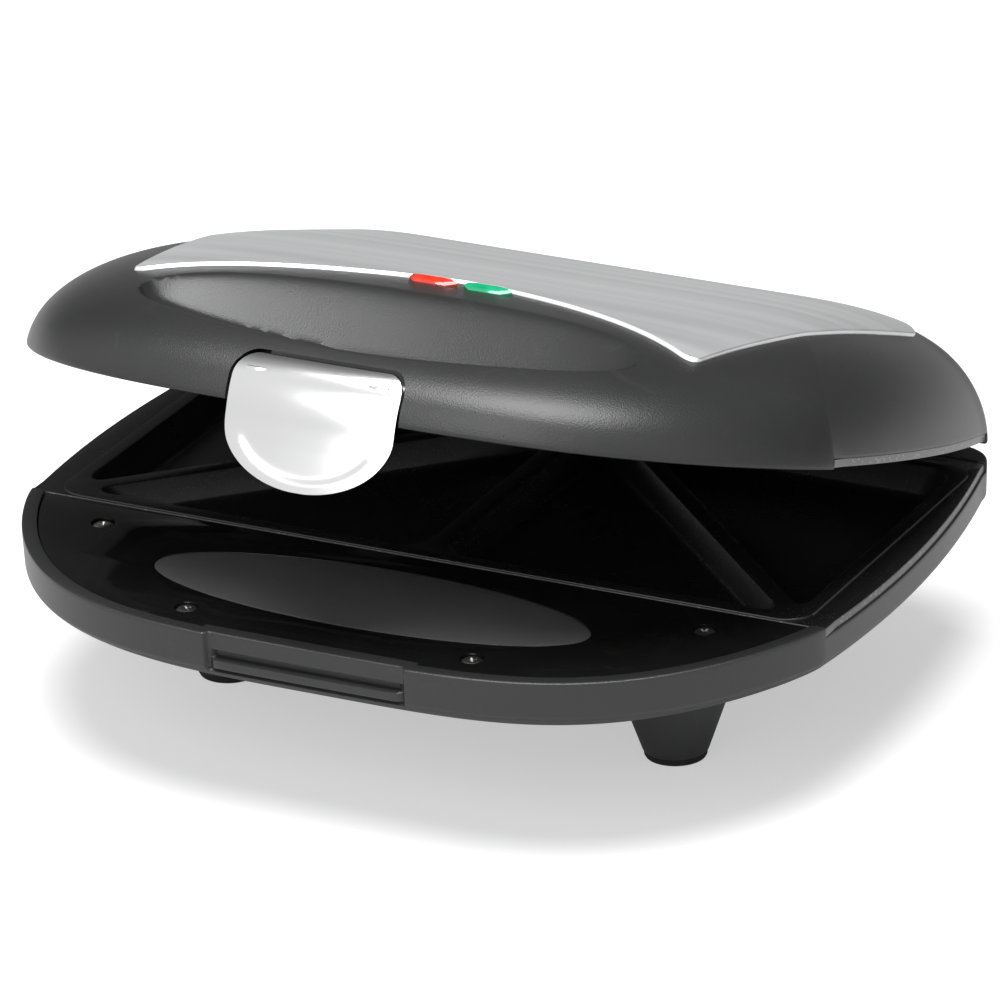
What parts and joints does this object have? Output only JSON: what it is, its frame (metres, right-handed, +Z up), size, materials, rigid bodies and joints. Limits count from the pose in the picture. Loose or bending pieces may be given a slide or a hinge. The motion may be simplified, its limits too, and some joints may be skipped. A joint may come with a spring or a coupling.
{
  "type": "sandwich toaster",
  "caption": "Sandwich toaster with a domed hinged lid, facing grill plates with diagonal pockets, a swinging front latch, indicator lamps and raised feet.",
  "frame": {"origin": "centre of the bounding box in plan, on the ground under the rubber pads", "axes": "+Z up, -Y towards the latch, +X to the right of someone facing the latch"},
  "size_m": [0.246, 0.2103, 0.1296],
  "materials": {
    "shell_plastic": "fine matte charcoal",
    "panel_gloss": "polished black",
    "inlay_matte": "matte dark grey",
    "screw_steel": "plated steel",
    "plate_coating": "black non-stick coating",
    "heater_tube": "heat-dulled steel",
    "reflector_sheet": "mill finish sheet",
    "pad_rubber": "matte",
    "gland_rubber": "matte",
    "ceramic": "glazed",
    "fuse_body": "satin",
    "wire_cover": "silicone sheath",
    "hinge_steel": "zinc plated",
    "trim_metal": "satin brushed",
    "lamp_red": "clear red",
    "lamp_green": "clear green",
    "neon_glass": "clear",
    "latch_metal": "satin chrome"
  },
  "bodies": {
    "base": {"base_shell": "shell_plastic", "base_front_panel": "panel_gloss", "base_panel_inlay": "inlay_matte", "base_panel_screws": "screw_steel", "lower_plate": "plate_coating", "lower_heater": "heater_tube", "lower_reflector": "reflector_sheet", "lower_plate_screws": "screw_steel", "feet": "shell_plastic", "foot_pads": "pad_rubber", "foot_screws": "screw_steel", "cord_gland": "gland_rubber", "terminal_block": "ceramic", "thermal_fuse": "fuse_body", "base_wires": "wire_cover", "base_hinge_brackets": "hinge_steel", "base_hinge_screws": "screw_steel", "hinge_pins": "screw_steel", "base_cable_barrel": "shell_plastic", "base_harness": "gland_rubber"},
    "lid": {"lid_shell": "shell_plastic", "lid_trim_plate": "trim_metal", "red_lamp_lens": "lamp_red", "green_lamp_lens": "lamp_green", "lamp_holder": "ceramic", "neon_lamps": "neon_glass", "upper_plate": "plate_coating", "upper_heater": "heater_tube", "upper_reflector": "reflector_sheet", "upper_plate_screws": "screw_steel", "thermostat": "ceramic", "lid_wires": "wire_cover", "lid_front_panel": "panel_gloss", "lid_panel_inlay": "inlay_matte", "lid_panel_screws": "screw_steel", "lid_hinge_brackets": "hinge_steel", "lid_hinge_screws": "screw_steel", "lid_cable_barrel": "shell_plastic", "lid_harness": "gland_rubber", "latch_bracket": "hinge_steel", "latch_pin": "screw_steel"},
    "latch": {"latch": "latch_metal"}
  },
  "joints": [
    {"name": "lid_hinge", "type": "hinge", "parent": "base", "child": "lid", "pos_m": [0, 0.09935, 0.055], "axis": [-1, 0, 0], "range_deg": [-18.2, 80]},
    {"name": "latch_pivot", "type": "hinge", "parent": "lid", "child": "latch", "pos_m": [0, -0.08665, 0.12289], "axis": [-1, 0, 0], "range_deg": [0, 30]}
  ]
}
